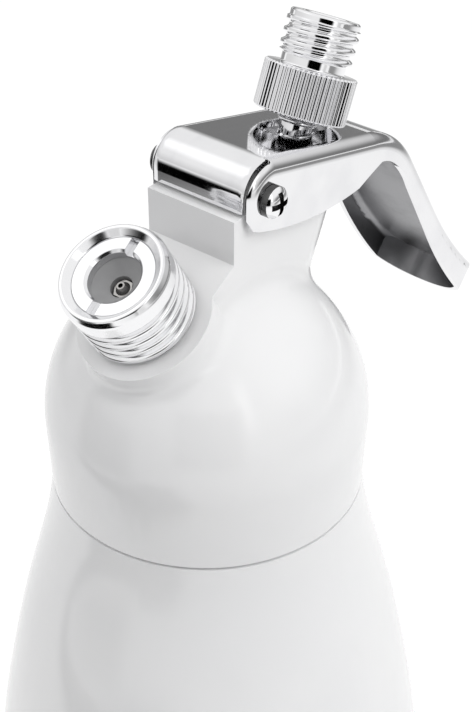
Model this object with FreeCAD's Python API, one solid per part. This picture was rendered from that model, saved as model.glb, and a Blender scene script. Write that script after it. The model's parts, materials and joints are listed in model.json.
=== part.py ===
import FreeCAD, Part
import math
import os

from FreeCAD import Vector

# A cream dispenser: aluminium bottle, screwed head with a tilted valve and a gas
# port, and a sheet steel lever. Millimetres. The origin is at the centre of the
# base, +Z runs up the bottle, the gas port faces -Y and the handle +Y.
# Heights named below are measured from the seam between the bottle and the head.

# Bottle
bottle_height = 215.0
seam_radius = 31.0
belly_radius = 49.5
belly_depth = 125.0
base_radius = 47.0
base_edge_radius = 8.0
bottle_wall = 1.6
bottle_ledge = 2.2
neck_radius = 24.6
neck_height = 14.0
neck_wall = 2.2

# Head
seam_gap = 0.4
dome_radius = 31.4
dome_centre = 15.0
head_thread_clearance = 0.3
gasket_thickness = 2.0
gasket_inner_radius = 19.0
cavity_top = 27.0
head_fillet = 4.5
block_half_width = 9.85
block_front = -4.2
block_top = 60.8
boss_radius = 12.8

# Valve, measured along its axis from where that axis crosses the bottle axis
valve_tilt = 23.8
valve_origin = 4.9
housing_root = 20.0
housing_top = 55.0
seat_level = 30.0
seat_pocket_radius = 7.5
valve_bore_radius = 4.2
bush_bottom = 44.0
bush_radius = 7.0
bush_flange_radius = 8.6
bush_flange = 1.2
spring_floor = 48.0
spring_pocket_radius = 5.2
stem_radius = 3.1
stem_bore_radius = 1.8
stem_tail_radius = 2.0
stem_top = 73.0
bead_radius = 3.8
bead_level = 65.9
bead_height = 0.9
seal_radius = 5.6
seal_thickness = 2.4
seal_gap = 0.3
washer_thickness = 1.2
nut_height = 3.0
nut_across_flats = 7.0
thrust_radius = 5.6
thrust_top = 62.85
thrust_thickness = 2.35
o_ring_section = 0.8
o_ring_groove_clearance = 0.15
wire_diameter = 0.9
spring_radius = 4.2
spring_turns = 5.5
spring_seat_gap = 0.3

# Nozzle adapter
collar_radius = 8.85
collar_bottom = 67.0
collar_top = 75.8
flute_count = 54
flute_depth = 0.42
collar_chamfer = 0.35
collar_recess_radius = 7.9
collar_recess_depth = 1.5
spigot_neck_radius = 6.1
spigot_neck_height = 2.1
spigot_radius = 7.0
spigot_land_radius = 6.62
spigot_land = 1.5
spigot_thread_pitch = 2.15
spigot_thread_depth = 0.65
spigot_top = 85.6
nozzle_bore_radius = 4.2
nozzle_bore_floor = 75.0

# Gas port, measured along its axis from where that axis crosses the bottle axis
port_elevation = 58.8
port_origin = 16.2
port_face = 33.0
port_rim = 47.6
port_radius = 10.2
port_rim_inner = 8.9
port_land = 4.5
port_thread_pitch = 2.3
port_thread_depth = 0.9
port_cup_radius = 7.65
port_cup_depth = 7.0
port_shank_radius = 6.6
port_shank_bottom = 22.0
port_rim_chamfer = 0.7
gas_bore_radius = 1.0
gas_passage_radius = 2.5
ring_hole_radius = 4.85
ring_depth = 1.1
ring_thickness = 2.0
ring_slot_turn = 94.0
ring_slot_width = 1.7
ring_slot_depth = 1.5
charger_gasket_inner = 2.1
charger_gasket_dish = 1.6
pin_radius = 1.4
pin_flange_radius = 1.9
pin_flange_height = 1.6
pin_tip_below_rim = 4.3
pin_tip_radius = 0.75
pin_bore_radius = 0.45
pin_shank_depth = 6.0
check_valve_radius = 3.0
check_valve_length = 5.0
port_gasket_thickness = 0.8

# Lever, hinged at hinge_y, hinge_z
hinge_y = 3.2
hinge_z = 62.7
lever_half_width = 11.8
sheet = 1.2
lever_top = 70.75
lever_slope = 13.75
roll_front = -2.35
roll_bend = 6.0
roll_bottom = 61.5
roll_half_width = 10.07
relief_end = 4.2
relief_round = 0.45
shoulder_bend = 24.0
handle_slope = 56.0
handle_y = 56.2
handle_z = 44.0
flare_y = 62.5
flare_turn = 14.7
flare_bend = 134.0
tip_radius = 12.9
edge_bend = 2.8
slot_width = 8.2
slot_front = 16.9
slot_back = 34.5

# Lower edge of the lever's skirts, as y and z: depth on the handle, the corner under
# the knee, the short sweep up to the notch, the belly of the ear and the ear's front
skirt_depth = 5.3
skirt_tip_depth = 7.6
skirt_corner = (49.6, 45.4)
skirt_sweep = ((46.6, 50.0), (42.7, 53.8))
skirt_notch = ((40.6, 55.1), (38.4, 55.8))
ear_heel = ((35.0, 54.7), (31.0, 53.2))
ear_belly = ((20.0, 53.2), (-0.9, 58.1))
ear_front = ((-2.1, 64.0), (relief_end, 68.9))

# Hinge
hinge_sleeve_radius = 3.2
hinge_thread_radius = 1.5
hinge_boss_radius = 4.0
shoulder_radius = 1.9
hinge_bush_radius = 2.4
hinge_bush_flange = 3.9
screw_head_radius = 2.95
screw_head_height = 2.4
screw_length = 6.0
screw_cross_width = 1.1
screw_cross_length = 4.4
screw_cross_depth = 1.4

running_clearance = 0.05
fit_clearance = 0.02
side_clearance = 0.1

X = Vector(1, 0, 0)
Z = Vector(0, 0, 1)
ORIGIN = Vector(0, 0, 0)


def across(first, second):
    """A point of a turned profile: radius, then height."""
    return Vector(first, 0, second)


def side(first, second):
    """A point of a side outline: y, then z."""
    return Vector(0, first, second)


def closed_wire(steps, place):
    """A closed wire. A step is a point, or a pair of points for an arc to the second."""
    edges = []
    start = place(*steps[0])
    at = start
    for step in steps[1:]:
        if isinstance(step[0], tuple):
            middle, end = place(*step[0]), place(*step[1])
            edges.append(Part.Arc(at, middle, end).toShape())
        else:
            end = place(*step)
            edges.append(Part.makeLine(at, end))
        at = end
    if at.distanceToPoint(start) > 1e-6:
        edges.append(Part.makeLine(at, start))
    return Part.Wire(edges)


def turned(steps):
    """A solid turned about Z from (radius, height) steps."""
    return Part.Face(closed_wire(steps, across)).revolve(ORIGIN, Z, 360)


def slab(steps, half_width):
    """A solid with a side outline of (y, z) steps, from -half_width to half_width in X."""
    face = Part.Face(closed_wire(steps, side))
    face.translate(Vector(-half_width, 0, 0))
    return face.extrude(Vector(2 * half_width, 0, 0))


def rod(radius, low, high):
    """A cylinder about Z between two heights."""
    return Part.makeCylinder(radius, high - low, Vector(0, 0, low))


def tube(outer, inner, low, high):
    """A plain ring about Z between two heights."""
    return turned([(inner, low), (outer, low), (outer, high), (inner, high)])


def cross_rod(radius, low, high, y, z):
    """A cylinder along X between two x values."""
    return Part.makeCylinder(radius, high - low, Vector(low, y, z), X)


def on_valve(shape):
    """Stands a shape made about Z on the valve axis."""
    shape.rotate(ORIGIN, X, -valve_tilt)
    shape.translate(Vector(0, 0, valve_origin))
    return shape


def on_port(shape):
    """Stands a shape made about Z on the gas port axis."""
    shape.rotate(ORIGIN, X, 90 - port_elevation)
    shape.translate(Vector(0, 0, port_origin))
    return shape


def mirrored(shape):
    """The same shape on the other side of the middle plane."""
    return shape.mirror(ORIGIN, X)


def thread_steps(crest, depth, high, low, pitch):
    """Profile steps down a thread drawn as parallel ridges, from high to low."""
    steps = []
    turns = int((high - low) / pitch + 0.2)
    for turn in range(turns):
        top = high - turn * pitch
        steps += [(crest, top - 0.05 * pitch), (crest, top - 0.25 * pitch)]
        root = crest - depth
        steps += [(root, top - 0.50 * pitch), (root, top - 0.80 * pitch)]
    return steps


def body_curve(offset, start=0.0):
    """The bottle's side from start below the seam to the base edge, set in by offset."""
    first_step = 1.6
    first_drop = 0.08 * belly_depth
    points = [
        (seam_radius + first_step * start / first_drop, -start),
        (seam_radius + first_step, -first_drop),
        (seam_radius + 7.1, -0.24 * belly_depth),
        (seam_radius + 11.9, -0.40 * belly_depth),
        (seam_radius + 15.7, -0.56 * belly_depth),
        (belly_radius, -belly_depth),
        (base_radius, base_edge_radius - bottle_height),
    ]
    curve = Part.BSplineCurve()
    curve.interpolate([across(r - offset, z) for r, z in points])
    return curve.toShape()


def bottle():
    """The bottle: threaded neck, flared shoulder, belly and a flat base."""
    floor = -bottle_height
    outer = body_curve(0.0)
    inner = body_curve(bottle_wall, bottle_ledge)
    corner = base_edge_radius * (1 - math.sqrt(0.5))
    inside_edge = base_edge_radius - bottle_wall
    inside_corner = inside_edge * (1 - math.sqrt(0.5))
    foot = base_radius - base_edge_radius
    inner_neck = neck_radius - neck_wall
    inner_top = inner.Vertexes[0].Point
    inner_foot = inner.Vertexes[-1].Point
    outer_foot = outer.Vertexes[-1].Point
    mouth = across(neck_radius, neck_height)
    step = across(neck_radius, 0)
    edges = [
        Part.makeLine(mouth, step),
        Part.makeLine(step, outer.Vertexes[0].Point),
        outer,
        Part.Arc(
            outer_foot,
            across(base_radius - corner, floor + corner),
            across(foot, floor),
        ).toShape(),
        Part.makeLine(across(foot, floor), across(0, floor)),
        Part.makeLine(across(0, floor), across(0, floor + bottle_wall)),
        Part.makeLine(across(0, floor + bottle_wall), across(foot, floor + bottle_wall)),
        Part.Arc(
            across(foot, floor + bottle_wall),
            across(base_radius - bottle_wall - inside_corner, floor + bottle_wall + inside_corner),
            inner_foot,
        ).toShape(),
        inner,
        Part.makeLine(inner_top, across(inner_neck, -bottle_ledge)),
        Part.makeLine(across(inner_neck, -bottle_ledge), across(inner_neck, neck_height)),
        Part.makeLine(across(inner_neck, neck_height), mouth),
    ]
    return Part.Face(Part.Wire(Part.sortEdges(edges)[0])).revolve(ORIGIN, Z, 360)


def head_gasket():
    """The flat ring between the bottle's mouth and the head."""
    return tube(neck_radius, gasket_inner_radius, neck_height, neck_height + gasket_thickness)


def port_face_outline(radius):
    """The boss under the gas port: a disc that runs up to the hinge block."""
    reach = (port_face * math.cos(math.radians(port_elevation)) + block_front) / math.sin(
        math.radians(port_elevation)
    )
    disc = Part.makeCylinder(radius, port_face - port_shank_bottom, Vector(0, 0, port_shank_bottom))
    strip = Part.makeBox(
        2 * block_half_width,
        reach,
        port_face - port_shank_bottom,
        Vector(-block_half_width, 0, port_shank_bottom),
    )
    return disc.fuse(strip)


def housing_line(offset):
    """A (y, z) point of the housing's top plane, offset across the valve axis."""
    tilt = math.radians(valve_tilt)
    return (
        housing_top * math.sin(tilt) + offset * math.cos(tilt),
        valve_origin + housing_top * math.cos(tilt) - offset * math.sin(tilt),
    )


def head_outside():
    """The outside of the head before its bores: dome, neck, hinge block and port boss."""
    slant = dome_radius * math.sqrt(0.5)
    dome = turned(
        [
            (0, seam_gap),
            (seam_radius - 0.3, seam_gap),
            (seam_radius, seam_gap + 0.3),
            (dome_radius, dome_centre),
            ((slant, dome_centre + slant), (0, dome_centre + dome_radius)),
        ]
    )
    front_edge = housing_line(-block_half_width)
    middle = housing_line(0)
    deep = dome_centre + 6
    deep_y = (deep - valve_origin) * math.tan(math.radians(valve_tilt))
    block = slab(
        [
            (block_front, deep),
            (block_front, block_top),
            (hinge_y, block_top),
            (hinge_y + hinge_boss_radius, block_top),
            front_edge,
            middle,
            (deep_y, deep),
        ],
        block_half_width,
    )
    boss = cross_rod(hinge_boss_radius, -block_half_width, block_half_width, hinge_y, hinge_z)
    neck = on_valve(rod(block_half_width, housing_root, housing_top))
    port_boss = on_port(port_face_outline(boss_radius))
    return dome.fuse([block, neck, port_boss]).removeSplitter(), boss


def blended(shape):
    """Rounds the edges where the neck and the port boss leave the dome."""
    centre = Vector(0, 0, dome_centre)
    edges = []
    for edge in shape.Edges:
        ends = [edge.valueAt(edge.FirstParameter), edge.valueAt(edge.LastParameter)]
        ends.append(edge.valueAt((edge.FirstParameter + edge.LastParameter) / 2))
        if all(abs(p.distanceToPoint(centre) - dome_radius) < 0.02 for p in ends):
            if min(p.z for p in ends) > dome_centre + 3:
                edges.append(edge)
    return shape.makeFillet(head_fillet, edges)


def head():
    """The cast head with its bores."""
    outside, boss = head_outside()
    body = blended(outside).fuse(boss)
    ceiling = neck_height + gasket_thickness
    socket = neck_radius + head_thread_clearance
    hollow = turned(
        [
            (0, -1),
            (socket, -1),
            (socket, ceiling),
            (gasket_inner_radius, ceiling),
            ((gasket_inner_radius * 0.72, ceiling + (cavity_top - ceiling) * 0.72), (0, cavity_top)),
        ]
    )
    seat_pocket = on_valve(rod(seat_pocket_radius, 12, seat_level))
    valve_bore = on_valve(rod(valve_bore_radius, seat_level - 1, bush_bottom + 1))
    bush_bore = on_valve(rod(bush_radius, bush_bottom, housing_top + 1))
    port_bore = on_port(rod(port_shank_radius + fit_clearance, port_shank_bottom, port_face + 1))
    gas_passage = on_port(rod(gas_passage_radius, 6, port_shank_bottom + 1))
    hinge_bore = cross_rod(
        hinge_sleeve_radius + fit_clearance, -lever_half_width, lever_half_width, hinge_y, hinge_z
    )
    return body.cut([hollow, seat_pocket, valve_bore, bush_bore, port_bore, gas_passage, hinge_bore])


def gas_port():
    """The chromed screw socket that takes the charger holder."""
    thread_top = port_rim - port_land
    root = port_radius - port_thread_depth
    base = port_face + port_gasket_thickness
    pin_seat = port_rim - port_cup_depth - pin_shank_depth
    steps = [
        (port_cup_radius, port_rim - port_cup_depth),
        (port_cup_radius, port_rim - ring_depth),
        (port_rim_inner, port_rim),
        (port_radius - port_rim_chamfer, port_rim),
        (port_radius, port_rim - port_rim_chamfer),
        (port_radius, thread_top),
        (root, thread_top - 0.4),
    ]
    thread_low = base + 0.6
    steps += thread_steps(
        port_radius, port_thread_depth, thread_top - 0.7, thread_low, port_thread_pitch
    )
    steps += [
        (root, base),
        (port_shank_radius, base),
        (port_shank_radius, port_shank_bottom),
        (check_valve_radius + fit_clearance, port_shank_bottom),
        (check_valve_radius + fit_clearance, port_shank_bottom + check_valve_length),
        (gas_bore_radius, port_shank_bottom + check_valve_length),
        (gas_bore_radius, pin_seat),
        (pin_radius + fit_clearance, pin_seat),
        (pin_radius + fit_clearance, port_rim - port_cup_depth),
    ]
    return on_port(turned(steps))


def port_gasket():
    """The thin ring between the gas port and the head's boss."""
    outer = port_radius - port_thread_depth
    return on_port(
        tube(outer, port_shank_radius + fit_clearance, port_face, port_face + port_gasket_thickness)
    )


def port_retaining_ring():
    """The slotted ring that holds the charger gasket down in the port."""
    top = port_rim - ring_depth
    outer = port_cup_radius - fit_clearance
    ring = turned(
        [
            (ring_hole_radius, top - ring_thickness),
            (outer, top - ring_thickness),
            (outer, top),
            (ring_hole_radius + 0.5, top),
            (ring_hole_radius, top - 0.5),
        ]
    )
    slot = Part.makeBox(
        4 * port_radius,
        ring_slot_width,
        ring_slot_depth,
        Vector(-2 * port_radius, -ring_slot_width / 2, top - ring_slot_depth),
    )
    slot.rotate(ORIGIN, Z, ring_slot_turn)
    return on_port(ring.cut(slot))


def charger_gasket():
    """The soft ring that seals on the charger's neck."""
    top = port_rim - ring_depth - ring_thickness
    outer = port_cup_radius - 0.15
    return on_port(
        turned(
            [
                (charger_gasket_inner, port_rim - port_cup_depth),
                (outer, port_rim - port_cup_depth),
                (outer, top),
                (ring_hole_radius, top),
                (charger_gasket_inner, top - charger_gasket_dish),
            ]
        )
    )


def piercing_pin():
    """The hollow pin, on a hexagonal base, that opens the charger."""
    tip = port_rim - pin_tip_below_rim
    low = port_rim - port_cup_depth - pin_shank_depth
    shank = turned(
        [
            (0, low),
            (pin_radius, low),
            (pin_radius, tip - 1.2),
            (pin_tip_radius, tip),
            (0, tip),
        ]
    )
    corners = [
        Vector(
            pin_flange_radius * math.cos(math.radians(60 * k)),
            pin_flange_radius * math.sin(math.radians(60 * k)),
            port_rim - port_cup_depth,
        )
        for k in range(7)
    ]
    base = Part.Face(Part.makePolygon(corners)).extrude(Vector(0, 0, pin_flange_height))
    return on_port(shank.fuse(base).cut(rod(pin_bore_radius, low - 1, tip + 1)))


def non_return_valve():
    """The rubber insert that lets gas in and keeps it in."""
    low = port_shank_bottom
    plug = rod(check_valve_radius, low, low + check_valve_length)
    lips = Part.makeBox(
        2 * check_valve_radius,
        0.4,
        check_valve_length,
        Vector(-check_valve_radius, -0.2, low),
    )
    passage = rod(0.6, low + 0.5 * check_valve_length, low + check_valve_length + 1)
    bounded = rod(0.6 * check_valve_radius, low - 1, low + 0.5 * check_valve_length)
    return on_port(plug.cut([passage, lips.common(bounded)]))


def valve_bush():
    """The screwed bush that guides the stem and carries the spring."""
    guide = stem_radius + running_clearance
    groove_low = bush_bottom + 1.1
    groove_high = groove_low + 2 * (o_ring_section + o_ring_groove_clearance)
    groove = stem_radius + running_clearance + 2 * o_ring_section + 0.4
    outer = bush_radius - fit_clearance
    top = housing_top + bush_flange
    return on_valve(
        turned(
            [
                (guide, bush_bottom),
                (outer, bush_bottom),
                (outer, housing_top),
                (bush_flange_radius, housing_top),
                (bush_flange_radius, top),
                (spring_pocket_radius, top),
                (spring_pocket_radius, spring_floor),
                (guide, spring_floor),
                (guide, groove_high),
                (groove, groove_high),
                (groove, groove_low),
                (guide, groove_low),
            ]
        )
    )


def stem_o_ring():
    """The ring in the bush that seals on the stem."""
    level = bush_bottom + 1.1 + o_ring_section + o_ring_groove_clearance
    radius = stem_radius + running_clearance + o_ring_section + 0.2
    return on_valve(Part.makeTorus(radius, o_ring_section, Vector(0, 0, level)))


def valve_stem():
    """The hollow stem, from its threaded tail to the nozzle adapter."""
    seal_top = seat_level - seal_gap
    tail = seal_top - seal_thickness - washer_thickness - nut_height - 0.8
    inlet = seal_top + 3.5
    stem = turned(
        [
            (0, tail),
            (stem_tail_radius, tail),
            (stem_tail_radius, seal_top),
            (stem_radius, seal_top),
            (stem_radius, bead_level - bead_height / 2),
            ((bead_radius, bead_level), (stem_radius, bead_level + bead_height / 2)),
            (stem_radius, stem_top),
            (stem_bore_radius, stem_top),
            (stem_bore_radius, inlet - 1.5),
            (0, inlet - 1.5),
        ]
    )
    ports = [
        Part.makeCylinder(1.1, 4 * stem_radius, Vector(-2 * stem_radius, 0, inlet), X),
        Part.makeCylinder(
            1.1, 4 * stem_radius, Vector(0, -2 * stem_radius, inlet), Vector(0, 1, 0)
        ),
    ]
    return on_valve(stem.cut(ports))


def stem_seal():
    """The rubber disc that closes the valve seat."""
    top = seat_level - seal_gap
    return on_valve(
        tube(seal_radius, stem_tail_radius + fit_clearance, top - seal_thickness, top)
    )


def seal_washer():
    """The washer that backs the seal."""
    top = seat_level - seal_gap - seal_thickness
    return on_valve(
        tube(seal_radius - 0.8, stem_tail_radius + fit_clearance, top - washer_thickness, top)
    )


def stem_nut():
    """The hexagonal nut on the stem's tail."""
    top = seat_level - seal_gap - seal_thickness - washer_thickness
    radius = nut_across_flats / math.sqrt(3)
    corners = [
        Vector(
            radius * math.cos(math.radians(60 * k)),
            radius * math.sin(math.radians(60 * k)),
            top - nut_height,
        )
        for k in range(7)
    ]
    nut = Part.Face(Part.makePolygon(corners)).extrude(Vector(0, 0, nut_height))
    hole = rod(stem_tail_radius + fit_clearance, top - nut_height - 1, top + 1)
    return on_valve(nut.cut(hole))


def thrust_collar():
    """The ring on the stem that the lever presses."""
    low = thrust_top - thrust_thickness
    return on_valve(
        turned(
            [
                (stem_radius + fit_clearance, low),
                (thrust_radius, low),
                (thrust_radius, thrust_top),
                (stem_radius + fit_clearance, thrust_top),
            ]
        )
    )


def biarc(start, start_way, end, end_way):
    """Two arcs that leave start along start_way and reach end along end_way."""
    reach = end - start
    ways = start_way + end_way
    bend = 2 * (1 - start_way.dot(end_way))
    along = reach.dot(ways)
    length = (-along + math.sqrt(along * along + bend * reach.dot(reach))) / bend
    first, last = start + start_way * length, end - end_way * length
    middle = (first + last) * 0.5
    arcs = []
    for a, corner, b in ((start, first, middle), (middle, last, end)):
        half = (b - a).Length / 2
        rise = (corner - (a + b) * 0.5).Length
        turn = 2 * math.atan2(rise, half)
        crown = (a + b) * 0.5 + (corner - (a + b) * 0.5) * (math.tan(turn / 4) / math.tan(turn / 2))
        arcs.append(Part.Arc(a, crown, b).toShape())
    return arcs


def valve_spring():
    """The return spring between the bush and the thrust collar."""
    low = spring_floor + spring_seat_gap + wire_diameter / 2
    high = thrust_top - thrust_thickness - spring_seat_gap - wire_diameter / 2
    rise = (high - low) / (2 * math.pi * spring_turns)
    quarters = int(round(4 * spring_turns))
    points, ways = [], []
    for quarter in range(quarters + 1):
        angle = quarter * math.pi / 2
        c, s = math.cos(angle), math.sin(angle)
        points.append(Vector(spring_radius * c, spring_radius * s, low + rise * angle))
        ways.append(Vector(-spring_radius * s, spring_radius * c, rise).normalize())
    edges = []
    for k in range(quarters):
        edges += biarc(points[k], ways[k], points[k + 1], ways[k + 1])
    section = Part.Wire(Part.Circle(points[0], ways[0], wire_diameter / 2).toShape())
    coil = Part.Wire(edges).makePipeShell([section], True, False)
    gap = (high - low) / spring_turns * math.cos(math.atan2(rise, spring_radius)) - wire_diameter
    print(f"spring: least gap between turns {gap:.2f} mm")
    return on_valve(coil)


def nozzle_adapter():
    """The fluted collar with the threaded spigot that the decorating nozzle screws onto."""
    corners = []
    step = 2 * math.pi / flute_count
    for k in range(flute_count):
        crest, root = collar_radius, collar_radius - flute_depth
        for share, radius in ((0.0, crest), (0.5, crest), (0.75, root)):
            angle = (k + share) * step
            corners.append(Vector(radius * math.cos(angle), radius * math.sin(angle), collar_bottom))
    corners.append(corners[0])
    fluted = Part.Face(Part.makePolygon(corners)).extrude(Vector(0, 0, collar_top - collar_bottom))
    blank = turned(
        [
            (0, collar_bottom),
            (collar_radius - collar_chamfer, collar_bottom),
            (collar_radius, collar_bottom + collar_chamfer),
            (collar_radius, collar_top - collar_chamfer),
            (collar_radius - collar_chamfer, collar_top),
            (0, collar_top),
        ]
    )
    neck_top = collar_top + spigot_neck_height
    steps = [
        (0, collar_top - 1),
        (spigot_neck_radius, collar_top - 1),
        (spigot_neck_radius, neck_top),
    ]
    root = spigot_radius - spigot_thread_depth
    land_low = spigot_top - spigot_land
    threads = thread_steps(
        spigot_radius, spigot_thread_depth, land_low, neck_top + 0.1, spigot_thread_pitch
    )
    steps += [(root, neck_top)]
    steps += reversed(threads)
    steps += [
        (spigot_land_radius, land_low + 0.2),
        (spigot_land_radius, spigot_top - 0.3),
        (spigot_land_radius - 0.3, spigot_top),
        (0, spigot_top),
    ]
    spigot = turned(steps)
    bore = rod(nozzle_bore_radius, nozzle_bore_floor, spigot_top + 1)
    socket = rod(stem_radius + fit_clearance, collar_bottom - 1, stem_top)
    throat = rod(stem_bore_radius, stem_top - 1, nozzle_bore_floor + 1)
    recess = rod(collar_recess_radius, collar_bottom - 1, collar_bottom + collar_recess_depth)
    return on_valve(fluted.common(blank).fuse(spigot).cut([bore, socket, throat, recess]))


def line_cross(point_a, slope_a, point_b, slope_b):
    """Where two falling lines of a side outline cross."""
    ta, tb = math.tan(math.radians(slope_a)), math.tan(math.radians(slope_b))
    y = (point_a[1] - point_b[1] + ta * point_a[0] - tb * point_b[0]) / (ta - tb)
    return y, point_a[1] - ta * (y - point_a[0])


def lever_spine(offset):
    """The lever's outer side line as steps from the roll to the tip, set in by offset."""
    slope, steep = math.radians(lever_slope), math.radians(handle_slope)
    plate = (0.0, lever_top - offset / math.cos(slope))
    handle = (handle_y - offset * math.sin(steep), handle_z - offset * math.cos(steep))
    front = roll_front + offset
    bend = roll_bend - offset
    corner = (front, plate[1] - math.tan(slope) * front)
    reach = bend * math.tan((math.pi / 2 + slope) / 2)
    centre = (front + bend, corner[1] - reach)
    roll_end = (corner[0] + reach * math.cos(slope), corner[1] - reach * math.sin(slope))
    half = (math.pi + math.pi / 2 - slope) / 2
    roll_middle = (centre[0] + bend * math.cos(half), centre[1] + bend * math.sin(half))
    knee = line_cross(plate, lever_slope, handle, handle_slope)
    swing = shoulder_bend - offset
    run = swing * math.tan((steep - slope) / 2)
    knee_start = (knee[0] - run * math.cos(slope), knee[1] + run * math.sin(slope))
    knee_end = (knee[0] + run * math.cos(steep), knee[1] - run * math.sin(steep))
    hub = (knee_start[0] - swing * math.sin(slope), knee_start[1] - swing * math.cos(slope))
    mean = (steep + slope) / 2
    knee_middle = (hub[0] + swing * math.sin(mean), hub[1] + swing * math.cos(mean))
    flare_start = (flare_y - offset * math.sin(steep), 0.0)
    flare_start = (flare_start[0], handle[1] - math.tan(steep) * (flare_start[0] - handle[0]))
    sweep = flare_bend + offset
    out = (flare_start[0] + sweep * math.sin(steep), flare_start[1] + sweep * math.cos(steep))
    turns = [steep - math.radians(flare_turn) * share for share in (0.5, 1.0)]
    flare = [(out[0] - sweep * math.sin(a), out[1] - sweep * math.cos(a)) for a in turns]
    return [
        (front, centre[1]),
        (roll_middle, roll_end),
        knee_start,
        (knee_middle, knee_end),
        flare_start,
        (flare[0], flare[1]),
    ]


def lever_outer():
    """The lever's outer block, down to the edge of its skirts."""
    flare_start = lever_spine(skirt_depth)[-2]
    flare_middle = lever_spine((skirt_depth + skirt_tip_depth) / 2)[-1][0]
    flare_end = lever_spine(skirt_tip_depth)[-1][1]
    edge = [
        flare_end,
        (flare_middle, flare_start),
        skirt_corner,
        skirt_sweep,
        skirt_notch,
        ear_heel,
        ear_belly,
    ]
    spine = lever_spine(0.0)
    block = slab([(roll_front, roll_bottom)] + spine + edge, lever_half_width)
    top = []
    for e in block.Edges:
        middle = e.valueAt((e.FirstParameter + e.LastParameter) / 2)
        if abs(abs(middle.x) - lever_half_width) < 1e-3 and on_spine(middle, 0.0):
            top.append(e)
    return block.makeFillet(edge_bend, top)


def on_spine(point, offset):
    """Whether a point lies on the lever's outer side line, past the roll's start."""
    wire = open_wire(lever_spine(offset), point.x)
    return wire.distToShape(Part.Vertex(point))[0] < 1e-3


def open_wire(steps, x):
    """An open wire through side outline steps at one x."""
    edges = []
    at = Vector(x, *steps[0])
    for step in steps[1:]:
        if isinstance(step[0], tuple):
            middle, end = Vector(x, *step[0]), Vector(x, *step[1])
            edges.append(Part.Arc(at, middle, end).toShape())
        else:
            end = Vector(x, *step)
            edges.append(Part.makeLine(at, end))
        at = end
    return Part.Wire(edges)


def lever_inner():
    """What is taken out of the lever's block to leave the sheet."""
    spine = lever_spine(sheet)
    tip = spine[-1][1]
    past = 2 * skirt_depth
    block = slab(
        [(roll_front + sheet, handle_z - past)]
        + spine
        + [(tip[0] + past, tip[1] - past), (tip[0] - past, tip[1] - 4 * past)],
        lever_half_width - sheet,
    )
    top = []
    for e in block.Edges:
        middle = e.valueAt((e.FirstParameter + e.LastParameter) / 2)
        if abs(abs(middle.x) - lever_half_width + sheet) < 1e-3 and on_spine(middle, sheet):
            top.append(e)
    return block.makeFillet(edge_bend - sheet, top)


def tip_frame(shape):
    """Turns a shape made about Z so that Z stands square to the handle at its tip."""
    slope = handle_slope - flare_turn
    shape.rotate(ORIGIN, X, -slope)
    tip = lever_spine(0.0)[-1][1]
    shape.translate(Vector(0, *tip))
    return shape


def tip_keeper(margin):
    """The space, rounded at the tip, that the lever may fill, set in by margin."""
    long = 2 * (handle_y + flare_y)
    deep = 2 * lever_top
    radius = tip_radius - margin
    half = min(lever_half_width + 1, radius - 1e-3)
    back = -tip_radius
    drum = Part.makeCylinder(radius, 2 * deep, Vector(0, back, -deep))
    box = Part.makeBox(4 * half, long, 2 * deep, Vector(-2 * half, back - long, -deep))
    return tip_frame(drum.fuse(box))


def lever():
    """The folded sheet lever: roll, ears, slotted plate, skirts and dished handle."""
    shell = lever_outer().common(tip_keeper(0.0))
    hollow = lever_inner().common(tip_keeper(sheet))
    shell = shell.cut(hollow)
    inner_ear = lever_half_width - sheet
    under = roll_front - sheet
    front_waste = slab(
        [
            (under, ear_belly[1][1]),
            ear_belly[1],
            ear_front,
            (relief_end, lever_top + sheet),
            (under, lever_top + sheet),
        ],
        2 * lever_half_width,
    )
    relief_height = lever_top + sheet - ear_belly[1][1]
    relief = Part.makeBox(
        inner_ear - roll_half_width,
        relief_end - under,
        relief_height,
        Vector(roll_half_width, under, ear_belly[1][1]),
    )
    relief_middle = (inner_ear + roll_half_width) / 2
    relief_hole = Part.makeCylinder(
        relief_round, relief_height, Vector(relief_middle, relief_end, ear_belly[1][1])
    )
    roll_space = slab(
        [
            (under - sheet, ear_belly[1][1] - sheet),
            (relief_end + sheet, ear_belly[1][1] - sheet),
            (relief_end + sheet, lever_top + 2 * sheet),
            (under - sheet, lever_top + 2 * sheet),
        ],
        roll_half_width,
    )
    below_roll = Part.makeBox(
        2 * inner_ear,
        relief_end - under,
        2 * skirt_depth,
        Vector(-inner_ear, under, roll_bottom - 2 * skirt_depth),
    )
    cuts = [front_waste.cut(roll_space), below_roll]
    for piece in (relief, relief_hole):
        cuts += [piece, mirrored(piece)]
    radius = slot_width / 2
    ends = [slot_front + radius, slot_back - radius]
    depth = 2 * skirt_depth
    for y in ends:
        cuts.append(Part.makeCylinder(radius, depth, Vector(0, y, lever_top - depth)))
    cuts.append(
        Part.makeBox(
            slot_width, ends[1] - ends[0], depth, Vector(-radius, ends[0], lever_top - depth)
        )
    )
    cuts.append(
        cross_rod(
            hinge_bush_radius + running_clearance,
            -2 * lever_half_width,
            2 * lever_half_width,
            hinge_y,
            hinge_z,
        )
    )
    return shell.cut(cuts)


def hinge_sleeve():
    """The threaded sleeve through the head's hinge block."""
    sleeve = cross_rod(hinge_sleeve_radius, -block_half_width, block_half_width, hinge_y, hinge_z)
    bore = cross_rod(
        hinge_thread_radius + fit_clearance, -2 * block_half_width, 2 * block_half_width, hinge_y, hinge_z
    )
    return sleeve.cut(bore)


def hinge_bushes():
    """The two flanged bushes that the lever's ears turn on."""
    inner_ear = lever_half_width - sheet
    outer_end = lever_half_width + side_clearance
    body = cross_rod(hinge_bush_radius, block_half_width, outer_end, hinge_y, hinge_z)
    flange = cross_rod(
        hinge_bush_flange, block_half_width, inner_ear - side_clearance, hinge_y, hinge_z
    )
    bore = cross_rod(shoulder_radius + fit_clearance, 0, 2 * outer_end, hinge_y, hinge_z)
    bush = body.fuse(flange).cut(bore)
    return Part.makeCompound([bush, mirrored(bush)])


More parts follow.
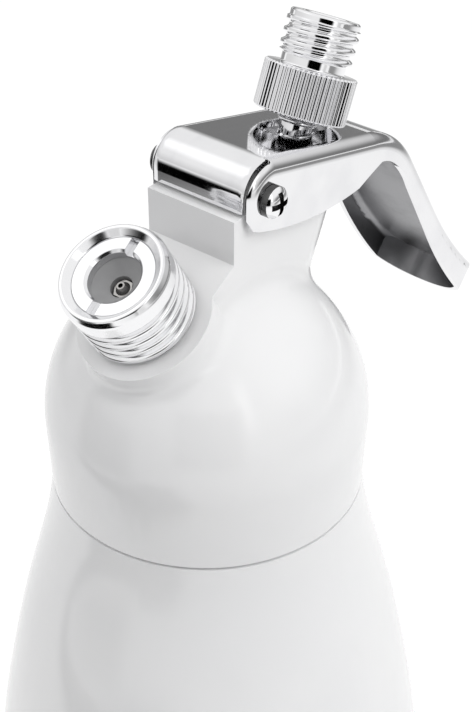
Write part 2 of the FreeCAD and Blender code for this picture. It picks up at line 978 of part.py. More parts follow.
def hinge_screws():
    """The two pan-head screws, with a shoulder for the bush."""
    seat = lever_half_width + side_clearance
    crown = seat + screw_head_height
    shank = cross_rod(hinge_thread_radius, block_half_width - screw_length, crown - 0.5, hinge_y, hinge_z)
    shoulder = cross_rod(shoulder_radius, block_half_width, seat + 0.1, hinge_y, hinge_z)
    edge = seat + 0.55 * screw_head_height
    pan = Part.Face(
        closed_wire(
            [
                (seat, 0),
                (seat, screw_head_radius),
                (edge, screw_head_radius),
                (
                    (seat + 0.88 * screw_head_height, 0.72 * screw_head_radius),
                    (crown, 0),
                ),
            ],
            lambda along, up: Vector(along, 0, up),
        )
    ).revolve(ORIGIN, X, 360)
    pan.translate(Vector(0, hinge_y, hinge_z))
    cross = []
    for wide, tall in ((screw_cross_width, screw_cross_length), (screw_cross_length, screw_cross_width)):
        cross.append(
            Part.makeBox(
                2 * screw_cross_depth,
                wide,
                tall,
                Vector(crown - screw_cross_depth, hinge_y - wide / 2, hinge_z - tall / 2),
            )
        )
    screw = shank.fuse([shoulder, pan]).cut(cross)
    return Part.makeCompound([screw, mirrored(screw)])


NODES = {
    "bottle": bottle,
    "head_gasket": head_gasket,
    "head": head,
    "gas_port": gas_port,
    "port_gasket": port_gasket,
    "port_retaining_ring": port_retaining_ring,
    "charger_gasket": charger_gasket,
    "piercing_pin": piercing_pin,
    "non_return_valve": non_return_valve,
    "valve_bush": valve_bush,
    "stem_o_ring": stem_o_ring,
    "valve_stem": valve_stem,
    "stem_seal": stem_seal,
    "seal_washer": seal_washer,
    "stem_nut": stem_nut,
    "thrust_collar": thrust_collar,
    "valve_spring": valve_spring,
    "nozzle_adapter": nozzle_adapter,
    "lever": lever,
    "hinge_sleeve": hinge_sleeve,
    "hinge_bushes": hinge_bushes,
    "hinge_screws": hinge_screws,
}

os.makedirs("parts", exist_ok=True)
for name, make in NODES.items():
    shape = make()
    shape.translate(Vector(0, 0, bottle_height))
    print(f"{name}: {len(shape.Solids)} solids, {shape.Volume:.1f} mm3, valid {shape.isValid()}")
    shape.exportStep(f"parts/{name}.step")
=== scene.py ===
"""The cream dispenser's looks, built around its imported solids."""

import json
import logging
import math
from collections.abc import Callable, Sequence
from dataclasses import dataclass, field
from enum import Enum

import bmesh
import bpy
from mathutils import Matrix, Vector
from mathutils.geometry import intersect_point_line


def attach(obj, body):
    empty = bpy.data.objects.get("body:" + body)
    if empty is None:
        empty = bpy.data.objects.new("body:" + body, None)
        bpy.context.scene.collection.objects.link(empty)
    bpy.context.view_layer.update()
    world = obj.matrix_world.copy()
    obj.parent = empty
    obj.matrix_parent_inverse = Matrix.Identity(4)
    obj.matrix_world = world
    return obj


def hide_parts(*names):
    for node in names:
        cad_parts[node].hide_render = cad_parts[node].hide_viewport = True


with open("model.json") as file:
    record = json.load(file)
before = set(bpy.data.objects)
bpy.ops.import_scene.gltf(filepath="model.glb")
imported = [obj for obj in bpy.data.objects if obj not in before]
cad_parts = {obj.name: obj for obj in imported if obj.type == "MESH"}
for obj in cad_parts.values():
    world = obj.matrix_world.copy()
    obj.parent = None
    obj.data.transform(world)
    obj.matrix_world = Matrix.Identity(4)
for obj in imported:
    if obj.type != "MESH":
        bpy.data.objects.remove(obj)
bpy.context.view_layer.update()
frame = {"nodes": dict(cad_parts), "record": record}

MM = 0.001
LOG = logging.getLogger("dispenser")
HANDLE_LINE = ((43.2, 57.9), (60.0, 33.0), (77.0, 12.0))
SCREW_SEAT = 11.9
INWARD = 0.2
SIDEWAYS = 0.35

Point = tuple[float, float]
Wobble = Callable[[float, float, float], float]


class Ray(Enum):
    """The kinds of light ray that a stage material can tell apart."""

    CAMERA = "Is Camera Ray"
    GLOSSY = "Is Glossy Ray"
    TRANSMISSION = "Is Transmission Ray"


class Value:
    """A socket of a shader that Python's arithmetic extends with Math nodes."""

    def __init__(self, graph: "Graph", socket: bpy.types.NodeSocket) -> None:
        """Wraps a socket.

        Args:
            graph: The graph that holds the socket's node.
            socket: An output socket.
        """
        self.graph = graph
        self.socket = socket

    def combine(self, operation: str, *terms: "Value | float") -> "Value":
        """Adds one Math node.

        Args:
            operation: The Math node's operation.
            terms: Its inputs, in order.

        Returns:
            The node's value.
        """
        inputs = dict(enumerate(terms))
        return self.graph.add("ShaderNodeMath", {"operation": operation}, inputs)

    def __add__(self, other: "Value | float") -> "Value":
        """Returns the sum."""
        return self.combine("ADD", self, other)

    def __radd__(self, other: float) -> "Value":
        """Returns the sum, with a number on the left."""
        return self.combine("ADD", other, self)

    def __sub__(self, other: "Value | float") -> "Value":
        """Returns the difference."""
        return self.combine("SUBTRACT", self, other)

    def __rsub__(self, other: float) -> "Value":
        """Returns a number less this value."""
        return self.combine("SUBTRACT", other, self)

    def __mul__(self, other: "Value | float") -> "Value":
        """Returns the product."""
        return self.combine("MULTIPLY", self, other)

    def __rmul__(self, other: float) -> "Value":
        """Returns the product, with a number on the left."""
        return self.combine("MULTIPLY", other, self)

    def ramp(self, low: float, high: float) -> "Value":
        """Maps low..high to 0..1 smoothly.

        Args:
            low: The value that becomes 0.
            high: The value that becomes 1.

        Returns:
            The mapped value.
        """
        settings = {"interpolation_type": "SMOOTHSTEP"}
        return self.graph.add("ShaderNodeMapRange", settings, {0: self, 1: low, 2: high})


class Graph:
    """A node tree, built by one method that adds nodes."""

    def __init__(self, tree: bpy.types.NodeTree) -> None:
        """Empties the tree.

        Args:
            tree: The tree to build.
        """
        self.tree = tree
        tree.nodes.clear()

    def add(
        self,
        kind: str,
        settings: dict | None = None,
        inputs: dict | None = None,
        output: int | str = 0,
    ) -> Value:
        """Adds a node.

        Args:
            kind: The node's type.
            settings: The node's own settings, set first.
            inputs: The values or links of its sockets, by name or index.
            output: The socket that is returned.

        Returns:
            The chosen output, or the node's first.
        """
        node = self.tree.nodes.new(kind)
        for name, setting in (settings or {}).items():
            setattr(node, name, setting)
        for name, given in (inputs or {}).items():
            socket = node.inputs[name]
            if isinstance(given, Value):
                self.tree.links.new(given.socket, socket)
            else:
                socket.default_value = given
        return Value(self, node.outputs[output] if node.outputs else None)

    def noise(self, place: Value, scale: float, detail: float = 2.0) -> Value:
        """Adds a noise texture.

        Args:
            place: The coordinates that it reads.
            scale: Features per metre.
            detail: Octaves.

        Returns:
            The noise, near 0.5.
        """
        inputs = {"Vector": place, "Scale": scale, "Detail": detail}
        return self.add("ShaderNodeTexNoise", {}, inputs)

    def place(self, stretch: Sequence[float] = (1.0, 1.0, 1.0)) -> Value:
        """Returns object coordinates, stretched per axis.

        Args:
            stretch: The factor along X, Y and Z.

        Returns:
            The coordinates.
        """
        raw = self.add("ShaderNodeTexCoord", output="Object")
        inputs = {0: raw, 1: tuple(stretch)}
        return self.add("ShaderNodeVectorMath", {"operation": "MULTIPLY"}, inputs)

    def tint(self, mask: Value, low: Sequence[float], high: Sequence[float]) -> Value:
        """Mixes two colours by a mask.

        Args:
            mask: 0 for low, 1 for high.
            low: The first colour.
            high: The second colour.

        Returns:
            The mixed colour.
        """
        inputs = {0: mask, 6: (*low, 1.0), 7: (*high, 1.0)}
        return self.add("ShaderNodeMix", {"data_type": "RGBA"}, inputs, output=2)

    def bump(self, height: Value, distance: float, strength: float) -> Value:
        """Adds a bump.

        Args:
            height: The height, 0 to 1.
            distance: The height of 1, in metres.
            strength: How much of it shows.

        Returns:
            The normal.
        """
        inputs = {"Height": height, "Distance": distance, "Strength": strength}
        return self.add("ShaderNodeBump", {}, inputs)

    def surface(self, inputs: dict) -> None:
        """Adds the principled shader and the material's output.

        Args:
            inputs: The shader's socket values or links.
        """
        shader = self.add("ShaderNodeBsdfPrincipled", {}, inputs)
        self.add("ShaderNodeOutputMaterial", {}, {"Surface": shader})


def blank(name: str) -> tuple[bpy.types.Material, Graph]:
    """Makes an empty material.

    Args:
        name: The material's name.

    Returns:
        The material and its graph.
    """
    material = bpy.data.materials.new(name)
    material.use_nodes = True
    return material, Graph(material.node_tree)


@dataclass(frozen=True)
class GlossLacquer:
    """A thick white gloss lacquer with a trace of orange peel and handling haze."""

    name: str
    light: tuple[float, float, float] = (0.90, 0.90, 0.905)
    shade: tuple[float, float, float] = (0.875, 0.877, 0.885)
    gloss: float = 0.11
    haze: float = 0.07
    peel_scale: float = 380.0
    peel_height: float = 0.00001
    cloud_scale: float = 28.0
    speck_scale: float = 2600.0
    speck_gloss: float = 0.05
    refraction: float = 1.46
    coat: float = 0.15
    coat_gloss: float = 0.04

    def make(self) -> bpy.types.Material:
        """Returns the lacquer's material."""
        material, graph = blank(self.name)
        place = graph.place()
        cloud = graph.noise(place, self.cloud_scale, 3.0)
        peel = graph.noise(place, self.peel_scale, 1.0)
        speck = graph.noise(place, self.speck_scale, 2.0).ramp(0.66, 0.74)
        dull = self.haze * cloud.ramp(0.45, 0.75)
        graph.surface(
            {
                "Base Color": graph.tint(cloud.ramp(0.35, 0.68), self.light, self.shade),
                "Roughness": self.gloss + dull + self.speck_gloss * speck,
                "IOR": self.refraction,
                "Coat Weight": self.coat,
                "Coat Roughness": self.coat_gloss,
                "Normal": graph.bump(peel, self.peel_height, 0.35),
            }
        )
        return material


@dataclass(frozen=True)
class BrightMetal:
    """Plated or polished metal, with fine lines along one way and light handling marks."""

    name: str
    light: tuple[float, float, float] = (0.90, 0.90, 0.91)
    shade: tuple[float, float, float] = (0.80, 0.80, 0.82)
    polish: float = 0.05
    haze: float = 0.06
    lines: tuple[float, float, float] = (1.0, 1.0, 1.0)
    line_scale: float = 600.0
    line_height: float = 0.000002
    cloud_scale: float = 90.0

    def make(self) -> bpy.types.Material:
        """Returns the metal's material."""
        material, graph = blank(self.name)
        cloud = graph.noise(graph.place(), self.cloud_scale, 3.0).ramp(0.4, 0.7)
        line = graph.noise(graph.place(self.lines), self.line_scale, 3.0)
        graph.surface(
            {
                "Base Color": graph.tint(cloud * line, self.light, self.shade),
                "Metallic": 1.0,
                "Roughness": self.polish + self.haze * cloud * line.ramp(0.3, 0.7),
                "Normal": graph.bump(line, self.line_height, 0.5),
            }
        )
        return material


@dataclass(frozen=True)
class SoftMaterial:
    """Rubber, silicone or nylon: matt, with a fine moulded grain."""

    name: str
    light: tuple[float, float, float]
    shade: tuple[float, float, float]
    dull: float = 0.55
    grain_scale: float = 1800.0
    grain_height: float = 0.00002
    grain_gloss: float = 0.15
    cloud_scale: float = 160.0

    def make(self) -> bpy.types.Material:
        """Returns the soft material."""
        material, graph = blank(self.name)
        grain = graph.noise(graph.place(), self.grain_scale, 3.0)
        cloud = graph.noise(graph.place(), self.cloud_scale, 2.0).ramp(0.35, 0.7)
        graph.surface(
            {
                "Base Color": graph.tint(cloud, self.light, self.shade),
                "Roughness": self.dull + self.grain_gloss * grain,
                "Normal": graph.bump(grain, self.grain_height, 0.4),
            }
        )
        return material


@dataclass
class Finishes:
    """Every finish that the pieces share, made once."""

    made: dict[str, bpy.types.Material] = field(default_factory=dict)

    def make(self) -> None:
        """Makes the material of each slot, and those of parts of a piece."""
        along_lever = (1.0, 0.06, 0.06)
        round_the_piece = (0.25, 0.25, 1.0)
        finishes = [
            GlossLacquer("white_bottle_lacquer"),
            GlossLacquer("white_head_lacquer"),
            BrightMetal("chrome_plate", (0.90, 0.90, 0.91), (0.80, 0.80, 0.82), 0.04, 0.05),
            BrightMetal(
                "polished_lever_steel",
                (0.84, 0.84, 0.85),
                (0.74, 0.74, 0.76),
                0.07,
                0.05,
                along_lever,
            ),
            # a satin finish, and partly painted shade: its colour is darkened for the shaded
            # hollow under the lever's handle
            BrightMetal("unpolished_shaded_lever_steel", (0.30, 0.30, 0.31), (0.24, 0.24, 0.25), 0.30),
            BrightMetal("turned_chrome_plate", (0.89, 0.89, 0.90), (0.78, 0.78, 0.80), 0.10, 0.08),
            BrightMetal(
                "bright_steel",
                (0.86, 0.86, 0.87),
                (0.74, 0.74, 0.76),
                0.12,
                0.06,
                round_the_piece,
            ),
            BrightMetal("polished_stem_steel", polish=0.07, lines=round_the_piece),
            BrightMetal("spring_steel", (0.7, 0.7, 0.71), (0.55, 0.55, 0.57), 0.16),
            BrightMetal("screw_steel", polish=0.08),
            BrightMetal("dark_steel", (0.42, 0.41, 0.40), (0.25, 0.24, 0.24), 0.22),
            # painted shade: a near-black steel for the sides of the screws' heads
            BrightMetal("shaded_screw_side_steel", (0.10, 0.10, 0.10), (0.05, 0.05, 0.05), 0.25),
            SoftMaterial("grey_silicone", (0.36, 0.36, 0.365), (0.30, 0.30, 0.305)),
            SoftMaterial("black_rubber", (0.035, 0.035, 0.036), (0.055, 0.055, 0.056)),
            SoftMaterial("white_nylon", (0.82, 0.82, 0.80), (0.76, 0.76, 0.74), 0.4),
        ]
        for finish in finishes:
            self.made[finish.name] = finish.make()

    def dress(self, piece: bpy.types.Object, slot: str) -> None:
        """Gives a piece one material on all its faces.

        Args:
            piece: The piece.
            slot: The record's material slot.
        """
        piece.data.materials.clear()
        piece.data.materials.append(self.made[slot])

    def dress_nodes(self) -> None:
        """Gives every solid of the frame the material of its slot."""
        for row in frame["record"]["subparts"]:
            solid = frame["nodes"][row["node"]]
            for index in range(len(solid.material_slots)):
                solid.material_slots[index].material = self.made[row["material_slot"]]


def mount_matrix(name: str) -> Matrix:
    """Returns a frame at a mount, with Z along the mount's axis and X kept.

    Args:
        name: The mount's name.
    """
    mount = next(m for m in frame["record"]["mounts"] if m["name"] == name)
    up = Vector(mount["axis"]).normalized()
    right = Vector((1.0, 0.0, 0.0))
    back = up.cross(right)
    turn = Matrix((right, back, up)).transposed().to_4x4()
    return Matrix.Translation(Vector(mount["pos_m"])) @ turn


def shade(mesh: bpy.types.Mesh, angle: float) -> None:
    """Shades a mesh smooth, with sharp edges past an angle.

    Args:
        mesh: The mesh.
        angle: The angle in degrees.
    """
    work = bmesh.new()
    work.from_mesh(mesh)
    for face in work.faces:
        face.smooth = True
    for edge in work.edges:
        if len(edge.link_faces) == 2:
            edge.smooth = edge.calc_face_angle(0.0) < math.radians(angle)
    work.to_mesh(mesh)
    work.free()


@dataclass(frozen=True)
class Lathe:
    """Turns a side outline about an axis, with a ripple for flutes and threads."""

    place: Matrix
    segments: int = 192
    sharp: float = 40.0

    def turn(
        self, name: str, path: Sequence[Point], ripple: Wobble | None = None
    ) -> bpy.types.Object:
        """Makes a turned piece.

        Args:
            name: The piece's name.
            path: Radius and height of each ring, in millimetres, as one closed loop.
            ripple: Extra radius in millimetres at an angle, a radius and a height.

        Returns:
            The piece.
        """
        work = bmesh.new()
        rings = []
        for radius, height in path:
            ring = []
            for k in range(self.segments):
                angle = 2 * math.pi * k / self.segments
                reach = radius + (ripple(angle, radius, height) if ripple else 0.0)
                spot = Vector((reach * math.cos(angle), reach * math.sin(angle), height))
                ring.append(work.verts.new(self.place @ (spot * MM)))
            rings.append(ring)
        for i, ring in enumerate(rings):
            after = rings[(i + 1) % len(rings)]
            for k in range(self.segments):
                n = (k + 1) % self.segments
                work.faces.new((ring[k], ring[n], after[n], after[k]))
        bmesh.ops.recalc_face_normals(work, faces=work.faces)
        mesh = bpy.data.meshes.new(name)
        work.to_mesh(mesh)
        work.free()
        shade(mesh, self.sharp)
        piece = bpy.data.objects.new(name, mesh)
        bpy.context.collection.objects.link(piece)
        return piece


def rounded(corners: Sequence[tuple[float, float, float]], steps: int = 5) -> list[Point]:
    """Rounds the corners of a closed side outline.

    Args:
        corners: Radius, height and rounding of each corner.
        steps: Points on each rounding.

    Returns:
        The outline's points.
    """
    path = []
    count = len(corners)
    for i, (r, z, bend) in enumerate(corners):
        at = Vector((r, z))
        if bend <= 0:
            path.append((r, z))
            continue
        before = Vector(corners[i - 1][:2])
        after = Vector(corners[(i + 1) % count][:2])
        into, out = (before - at), (after - at)
        reach = min(bend, 0.48 * into.length, 0.48 * out.length)
        start, end = at + into.normalized() * reach, at + out.normalized() * reach
        for k in range(steps + 1):
            t = k / steps
            spot = start * (1 - t) ** 2 + at * 2 * t * (1 - t) + end * t * t
            path.append((spot.x, spot.y))
    return path


def fine(path: Sequence[Point], low: float, high: float, step: float) -> list[Point]:
    """Splits an outline's long runs between two heights.

    Args:
        path: The closed outline.
        low: The lower height.
        high: The upper height.
        step: The longest run left there.

    Returns:
        The finer outline.
    """
    result = []
    for i, (r, z) in enumerate(path):
        result.append((r, z))
        r2, z2 = path[(i + 1) % len(path)]
        inside = low - 0.01 <= min(z, z2) and max(z, z2) <= high + 0.01
        pieces = max(1, math.ceil(abs(z2 - z) / step)) if inside else 1
        for k in range(1, pieces):
            t = k / pieces
            result.append((r + t * (r2 - r), z + t * (z2 - z)))
    return result


@dataclass(frozen=True)
class Thread:
    """A right-hand external thread as a ripple on a plain cylinder."""

    crest: float
    depth: float
    pitch: float
    low: float
    high: float
    run_out: float = 0.5
    crest_width: float = 0.20
    groove_from: float = 0.85

    def ripple(self, angle: float, radius: float, height: float) -> float:
        """Returns the change of radius at a point of the crest cylinder.

        Args:
            angle: The angle about the axis.
            radius: The radius of the outline there.
            height: The height there.
        """
        if abs(radius - self.crest) > 0.01 or not self.low <= height <= self.high:
            return 0.0
        phase = (height / self.pitch - angle / (2 * math.pi)) % 1.0
        away = abs(phase - 0.5) * 2
        flank = self.groove_from - self.crest_width
        crest = min(1.0, max(0.0, (away - self.crest_width) / flank))
        groove = 0.5 - 0.5 * math.cos(math.pi * crest)
        fade = min(1.0, (self.high - height) / self.run_out, (height - self.low) / self.run_out)
        return -self.depth * groove * max(0.0, fade)


@dataclass
class NozzleAdapter:
    """The fluted collar and threaded spigot, measured down from the spigot's top."""

    finishes: Finishes
    collar_radius: float = 8.84
    collar_low: float = -18.6
    collar_high: float = -9.8
    collar_edge: float = 0.3
    recess: float = 7.9
    recess_depth: float = 4.0
    flutes: int = 54
    flute_depth: float = 0.5
    flute_power: float = 1.9
    flute_band: float = 0.4
    neck_radius: float = 6.1
    neck_high: float = -7.7
    crest: float = 6.98
    land_radius: float = 6.62
    land_low: float = -1.5
    thread_depth: float = 0.72
    pitch: float = 2.15
    bore: float = 4.2
    bore_low: float = -10.6
    passage: float = 1.8
    stem_bore: float = 3.12
    stem_stop: float = -12.6
    lip: float = 0.35

    def ripple(self, angle: float, radius: float, height: float) -> float:
        """Returns the depth of a flute, or of the thread.

        Args:
            angle: The angle about the axis.
            radius: The radius of the outline there.
            height: The height there.
        """
        thread = Thread(
            self.crest, self.thread_depth, self.pitch, self.neck_high, self.land_low
        )
        if abs(radius - self.crest) < 0.01:
            return thread.ripple(angle, radius, height)
        if radius < self.collar_radius - self.flute_band or height > self.collar_high + 0.1:
            return 0.0
        wave = 0.5 - 0.5 * math.cos(self.flutes * angle)
        share = min(1.0, (radius - self.collar_radius + self.flute_band) / 0.1)
        return -self.flute_depth * share * wave**self.flute_power

    def make(self) -> bpy.types.Object:
        """Returns the adapter."""
        corners = [
            (self.stem_bore, self.collar_low + self.recess_depth, 0.1),
            (self.recess, self.collar_low + self.recess_depth, 0.3),
            (self.recess, self.collar_low, 0.12),
            (self.collar_radius - self.collar_edge, self.collar_low, 0.08),
            (self.collar_radius, self.collar_low + self.collar_edge, 0.1),
            (self.collar_radius, self.collar_high - self.collar_edge, 0.1),
            (self.collar_radius - self.collar_edge, self.collar_high, 0.08),
            (self.neck_radius, self.collar_high, 0.35),
            (self.neck_radius, self.neck_high - 0.2, 0.2),
            (self.crest, self.neck_high + 0.15, 0.0),
            (self.crest, self.land_low, 0.0),
            (self.land_radius, self.land_low + 0.15, 0.1),
            (self.land_radius, -self.lip, 0.1),
            (self.land_radius - self.lip, 0.0, 0.15),
            (self.bore + 0.25, 0.0, 0.15),
            (self.bore, -0.4, 0.2),
            (self.bore, self.bore_low, 0.1),
            (self.passage, self.bore_low, 0.1),
            (self.passage, self.stem_stop, 0.0),
            (self.stem_bore, self.stem_stop, 0.0),
        ]
        path = fine(rounded(corners), self.collar_low, 0.0, 0.09)
        lathe = Lathe(mount_matrix("nozzle_thread"), self.flutes * 10, 60.0)
        piece = lathe.turn("fluted_adapter", path, self.ripple)
        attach(piece, "stem")
        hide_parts("nozzle_adapter")
        self.finishes.dress(piece, "chrome_plate")
        return piece


@dataclass
class GasPort:
    """The chromed port with its thread, measured down from its rim."""

    finishes: Finishes
    crest: float = 10.18
    depth: float = 1.1
    pitch: float = 2.3
    land: float = 3.9
    edge: float = 1.3
    rim_outer: float = 9.5
    rim_inner: float = 8.9
    cup: float = 7.65
    ring_depth: float = 1.1
    cup_floor: float = -7.0
    thread_low: float = -13.3
    base: float = -13.8
    shank_radius: float = 6.6
    shank_low: float = -25.6
    pin_bore: float = 1.42
    pin_seat: float = -13.0
    gas_bore: float = 1.0
    pocket_radius: float = 3.02
    pocket_top: float = -20.6

    def make(self) -> bpy.types.Object:
        """Returns the port."""
        place = mount_matrix("gas_port_thread")
        thread = Thread(
            self.crest, self.depth, self.pitch, self.thread_low, -self.land, 0.6
        )
        corners = [
            (self.shank_radius, self.shank_low, 0.1),
            (self.shank_radius, self.base, 0.0),
            (self.crest - self.depth, self.base, 0.1),
            (self.crest - self.depth, -13.35, 0.0),
            (self.crest, self.thread_low, 0.0),
            (self.crest, -self.land, 0.0),
            (self.crest, -self.edge, 0.4),
            (self.rim_outer, 0.0, 0.25),
            (self.rim_inner, 0.0, 0.15),
            (self.cup, -self.ring_depth, 0.25),
            (self.cup, self.cup_floor, 0.2),
            (self.pin_bore, self.cup_floor, 0.0),
            (self.pin_bore, self.pin_seat, 0.0),
            (self.gas_bore, self.pin_seat, 0.0),
            (self.gas_bore, self.pocket_top, 0.0),
            (self.pocket_radius, self.pocket_top, 0.0),
            (self.pocket_radius, self.shank_low, 0.0),
        ]
        path = fine(rounded(corners), -13.4, 0.0, 0.1)
        port = Lathe(place, 288, 55.0).turn("threaded_port", path, thread.ripple)
        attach(port, "head")
        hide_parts("gas_port")
        self.finishes.dress(port, "turned_chrome_plate")
        return port


@dataclass
class EdgedCopy:
    """A copy of a solid's mesh, with its edges rounded where width isn't 0."""

    finishes: Finishes
    node: str
    name: str
    width: float
    sharp: float = 32.0
    steps: int = 2
    flat: float = 0.4

    def prepare(self, mesh: bpy.types.Mesh) -> None:
        """Joins the mesh's faces, so that only real edges are left to round.

        Args:
            mesh: The copied mesh.
        """
        work = bmesh.new()
        work.from_mesh(mesh)
        bmesh.ops.remove_doubles(work, verts=work.verts, dist=0.000002)
        bmesh.ops.dissolve_limit(
            work, angle_limit=math.radians(self.flat), verts=work.verts, edges=work.edges
        )
        work.to_mesh(mesh)
        work.free()
        custom = mesh.attributes.get("custom_normal")
        if custom:
            mesh.attributes.remove(custom)
        shade(mesh, self.sharp)

    def round_edges(self, piece: bpy.types.Object) -> None:
        """Rounds the piece's sharp edges.

        Args:
            piece: The piece.
        """
        bevel = piece.modifiers.new("edges", "BEVEL")
        bevel.width = self.width * MM
        bevel.segments = self.steps
        bevel.limit_method = "ANGLE"
        bevel.angle_limit = math.radians(self.sharp)
        bevel.harden_normals = True

    def make(self) -> bpy.types.Object:
        """Returns the copy, which stands for the solid."""
        row = next(r for r in frame["record"]["subparts"] if r["node"] == self.node)
        bodies = frame["record"]["behaviour"]["bodies"]
        body = next(b for b, nodes in bodies.items() if self.node in nodes)
        mesh = frame["nodes"][self.node].data.copy()
        if self.width > 0:
            self.prepare(mesh)
        piece = bpy.data.objects.new(self.name, mesh)
        bpy.context.collection.objects.link(piece)
        if self.width > 0:
            self.round_edges(piece)
        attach(piece, body)
        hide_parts(self.node)
        self.finishes.dress(piece, row["material_slot"])
        return piece


def dull_and_shade_inside(lever: bpy.types.Object, finishes: Finishes) -> None:
    """Leaves the hollow side of the lever's handle unpolished, in a darker steel that is partly
    painted shade under the handle.

    Args:
        lever: The lever.
        finishes: The shared finishes.
    """
    lever.data.materials.append(finishes.made["unpolished_shaded_lever_steel"])
    seam = frame["record"]["behaviour"]["joints"][1]["pos_m"][2]
    line = [Vector((0.0, y * MM, seam + z * MM)) for y, z in HANDLE_LINE]
    for face in lever.data.polygons:
        if face.center.y < line[0].y:
            continue
        spots = []
        for start, end in zip(line, line[1:]):
            share = intersect_point_line(face.center, start, end)[1]
            spots.append(start.lerp(end, min(1.0, max(0.0, share))))
        spot = min(spots, key=lambda point: (point - face.center).length)
        # faces turned into the handle's hollow get the darker steel, which paints the shade there
        if face.normal.dot((spot - face.center).normalized()) > INWARD:
            face.material_index = 1


def darken_sides(screws: bpy.types.Object, finishes: Finishes) -> None:
    """Darkens the sides of the screws' heads and of their recesses: painted shade, in a near-black
    steel.

    Args:
        screws: The screws.
        finishes: The shared finishes.
    """
    screws.data.materials.append(finishes.made["shaded_screw_side_steel"])
    for face in screws.data.polygons:
        # side faces of the heads get the near-black steel as painted shade
        if abs(face.normal.x) < SIDEWAYS and abs(face.center.x) > SCREW_SEAT * MM:
            face.material_index = 1


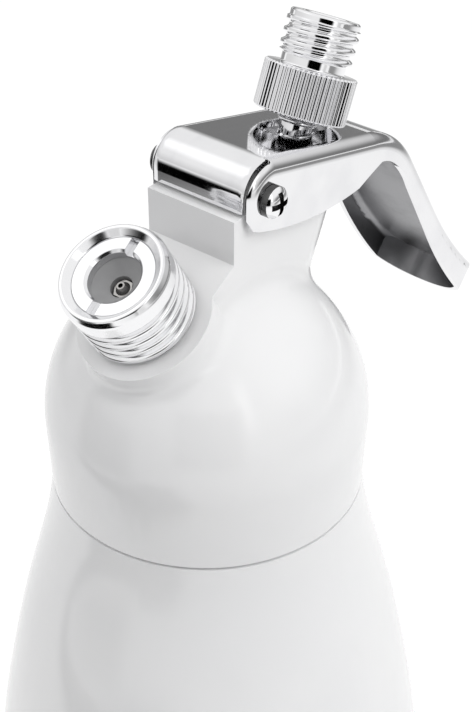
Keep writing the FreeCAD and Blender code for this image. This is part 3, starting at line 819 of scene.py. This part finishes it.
@dataclass
class Studio:
    """The floor, the sky, the lamps and the cards that only mirrors see."""

    floor_size: float = 8.0
    low_sky: float = 0.22
    high_sky: float = 0.82
    paper_share: float = 0.15
    horizon: float = 0.76
    front_share: float = 0.3
    paper_tone: float = 0.72
    floor_glow: float = 1.11
    floor_fade: Point = (0.5, 1.3)
    side_blend: float = 0.3
    band_edge: float = 0.02
    band_fade: Point = (0.10, 0.50)
    white: float = 0.97

    def floor(self) -> None:
        """Makes the pale floor."""
        bpy.ops.mesh.primitive_plane_add(size=self.floor_size, location=(0, 0, -0.0002))
        floor = bpy.context.object
        floor.name = "floor"
        material, graph = blank("pale_floor")
        ray = graph.add("ShaderNodeLightPath", output=Ray.CAMERA.value)
        glossy = graph.add("ShaderNodeLightPath", output=Ray.GLOSSY.value)
        through = graph.add("ShaderNodeLightPath", output=Ray.TRANSMISSION.value)
        grey = (self.paper_tone, self.paper_tone, self.paper_tone, 1.0)
        paper = graph.add("ShaderNodeBsdfDiffuse", {}, {"Color": grey})
        length = {"operation": "LENGTH"}
        away = graph.add("ShaderNodeVectorMath", length, {0: graph.place()}, "Value")
        depth = graph.add("ShaderNodeSeparateXYZ", {}, {0: graph.place()}, "Y")
        back = depth.ramp(-self.side_blend, self.side_blend)
        share = self.front_share + back * (1.0 - self.front_share)
        fall = 1.0 - glossy * away.ramp(*self.floor_fade) * share * self.horizon
        light = {"Color": (1, 1, 1, 1), "Strength": fall * self.floor_glow}
        glow = graph.add("ShaderNodeEmission", {}, light)
        seen = ray + glossy + through
        share = seen.combine("MINIMUM", seen, 1.0) * (1.0 - self.paper_share)
        mixed = graph.add("ShaderNodeMixShader", {}, {0: share, 1: paper, 2: glow})
        graph.add("ShaderNodeOutputMaterial", {}, {"Surface": mixed})
        floor.data.materials.append(material)

    def world(self) -> None:
        """Makes the sky: white to the camera, banded for reflections, plain for light."""
        world = bpy.data.worlds.new("studio")
        world.use_nodes = True
        bpy.context.scene.world = world
        graph = Graph(world.node_tree)
        camera = graph.add("ShaderNodeLightPath", output=Ray.CAMERA.value)
        glossy = graph.add("ShaderNodeLightPath", output=Ray.GLOSSY.value)
        way = graph.add("ShaderNodeTexCoord", output="Generated")
        height = graph.add("ShaderNodeSeparateXYZ", {}, {0: way}, output="Z")
        depth = graph.add("ShaderNodeSeparateXYZ", {}, {0: way}, "Y")
        back = depth.ramp(-self.side_blend, self.side_blend)
        above = height.ramp(-self.band_edge, self.band_edge)
        dark = above * (1.0 - height.ramp(*self.band_fade))
        dark = dark * (self.front_share + back * (1.0 - self.front_share))
        plain = self.low_sky + height.ramp(-0.1, 1.0) * (self.high_sky - self.low_sky)
        tone = glossy * (self.white - self.horizon * dark) + (1.0 - glossy) * plain
        strength = camera + (1.0 - camera) * tone
        sky = graph.add(
            "ShaderNodeBackground", {}, {"Color": (1, 1, 1, 1), "Strength": strength}
        )
        graph.add("ShaderNodeOutputWorld", {}, {"Surface": sky})

    def lamp(
        self,
        name: str,
        place: Sequence[float],
        aim: Sequence[float],
        size: Point,
        power: float,
    ) -> None:
        """Adds a soft rectangular lamp.

        Args:
            name: The lamp's name.
            place: Where it stands, in metres.
            aim: Where it points.
            size: Its width and height.
            power: Its power in watts.
        """
        data = bpy.data.lights.new(name, "AREA")
        data.shape = "RECTANGLE"
        data.size, data.size_y = size
        data.energy = power
        lamp = bpy.data.objects.new(name, data)
        lamp.visible_glossy = False
        lamp.location = place
        way = Vector(aim) - Vector(place)
        lamp.rotation_euler = way.to_track_quat("-Z", "Y").to_euler()
        bpy.context.collection.objects.link(lamp)

    def card(
        self,
        name: str,
        place: Sequence[float],
        aim: Sequence[float],
        size: Point,
        tone: float = 0.0,
        soft: float = 0.14,
    ) -> None:
        """Stands a card, with soft edges, that only mirrors see.

        Args:
            name: The card's name.
            place: Its centre, in metres.
            aim: What it faces.
            size: Its width and height.
            tone: Its brightness, 0 for black.
            soft: The share of its width over which its edge fades.
        """
        way = Vector(aim) - Vector(place)
        turn = way.to_track_quat("Z", "Y").to_euler()
        bpy.ops.mesh.primitive_plane_add(size=1.0, location=place, rotation=turn)
        card = bpy.context.object
        card.name = name
        card.scale = (size[0], size[1], 1.0)
        card.visible_camera = False
        card.visible_diffuse = False
        card.visible_shadow = False
        card.visible_transmission = False
        material, graph = blank(name)
        spot = graph.add("ShaderNodeTexCoord", output="Generated")
        across = graph.add("ShaderNodeSeparateXYZ", {}, {0: spot}, "X") - 0.5
        along = graph.add("ShaderNodeSeparateXYZ", {}, {0: spot}, "Y") - 0.5
        sides = [way.combine("ABSOLUTE", way) for way in (across, along)]
        edge = across.combine("MAXIMUM", *sides)
        glow = tone + edge.ramp(0.5 - soft, 0.5) * (self.white - tone)
        light = {"Color": (1, 1, 1, 1), "Strength": glow}
        face = graph.add("ShaderNodeEmission", {}, light)
        graph.add("ShaderNodeOutputMaterial", {}, {"Surface": face})
        card.data.materials.append(material)

    def make(self) -> None:
        """Makes the whole studio."""
        self.floor()
        self.world()
        top = (0.0, 0.0, 0.25)
        self.lamp("left_softbox", (-0.6, -0.8, 0.95), top, (1.2, 1.4), 3.0)
        self.lamp("right_softbox", (0.90, 0.25, 0.95), top, (0.7, 1.2), 6.6)
        self.card("low_left_card", (-0.20, -0.36, 0.16), (0.0, 0.0, 0.16), (0.40, 0.34), soft=0.25)
        self.card("floor_card", (-0.10, -0.38, 0.002), (-0.10, -0.38, 1.0), (0.62, 0.30))
        self.card("front_card", (0.42, -0.50, 0.36), (0.0, 0.0, 0.30), (0.66, 0.56), soft=0.16)
        self.card("high_left_card", (-0.40, -0.22, 0.91), top, (0.6, 0.6), tone=1.3, soft=0.4)
        self.card("bright_strip", (0.80, -0.30, 0.75), top, (0.25, 0.9), tone=2.4, soft=0.4)


@dataclass
class Camera:
    """The photograph's camera."""

    place: tuple[float, float, float] = (0.13927, -0.165, 0.39624)
    heading: float = 38.7
    drop: float = 35.69
    roll: float = -0.37
    focal_pixels: float = 1399.0
    picture_height: float = 712.0
    sensor: float = 36.0

    def make(self) -> None:
        """Adds the camera to the scene."""
        a, e, r = (math.radians(v) for v in (self.heading, self.drop, self.roll))
        level = Vector((math.cos(a), math.sin(a), 0.0))
        rise = Vector((-math.sin(a) * math.sin(e), math.cos(a) * math.sin(e), math.cos(e)))
        ahead = Vector((-math.sin(a) * math.cos(e), math.cos(a) * math.cos(e), -math.sin(e)))
        right = level * math.cos(r) - rise * math.sin(r)
        up = level * math.sin(r) + rise * math.cos(r)
        data = bpy.data.cameras.new("camera")
        data.sensor_width = self.sensor
        data.lens = self.focal_pixels / self.picture_height * self.sensor
        data.clip_start = 0.01
        camera = bpy.data.objects.new("camera", data)
        turn = Matrix((right, up, -ahead)).transposed().to_4x4()
        camera.matrix_world = Matrix.Translation(Vector(self.place)) @ turn
        bpy.context.collection.objects.link(camera)
        bpy.context.scene.camera = camera


def main() -> None:
    """Builds every piece in order."""
    logging.basicConfig(level=logging.INFO)
    bpy.context.scene.view_settings.view_transform = "Standard"
    Camera().make()
    Studio().make()
    finishes = Finishes()
    finishes.make()
    finishes.dress_nodes()
    pieces = [NozzleAdapter(finishes).make(), GasPort(finishes).make()]
    lever = EdgedCopy(finishes, "lever", "folded_lever", 0.0).make()
    dull_and_shade_inside(lever, finishes)
    pieces.append(lever)
    screws = EdgedCopy(finishes, "hinge_screws", "pan_screws", 0.08).make()
    darken_sides(screws, finishes)
    pieces.append(screws)
    copies = [
        ("head", "cast_head", 0.25),
        ("port_retaining_ring", "slotted_ring", 0.1),
        ("thrust_collar", "pressed_collar", 0.15),
        ("piercing_pin", "hollow_pin", 0.0),
    ]
    for node, name, width in copies:
        pieces.append(EdgedCopy(finishes, node, name, width).make())
    for piece in pieces:
        LOG.info("%s: %d faces", piece.name, len(piece.data.polygons))


if __name__ == "__main__":
    main()
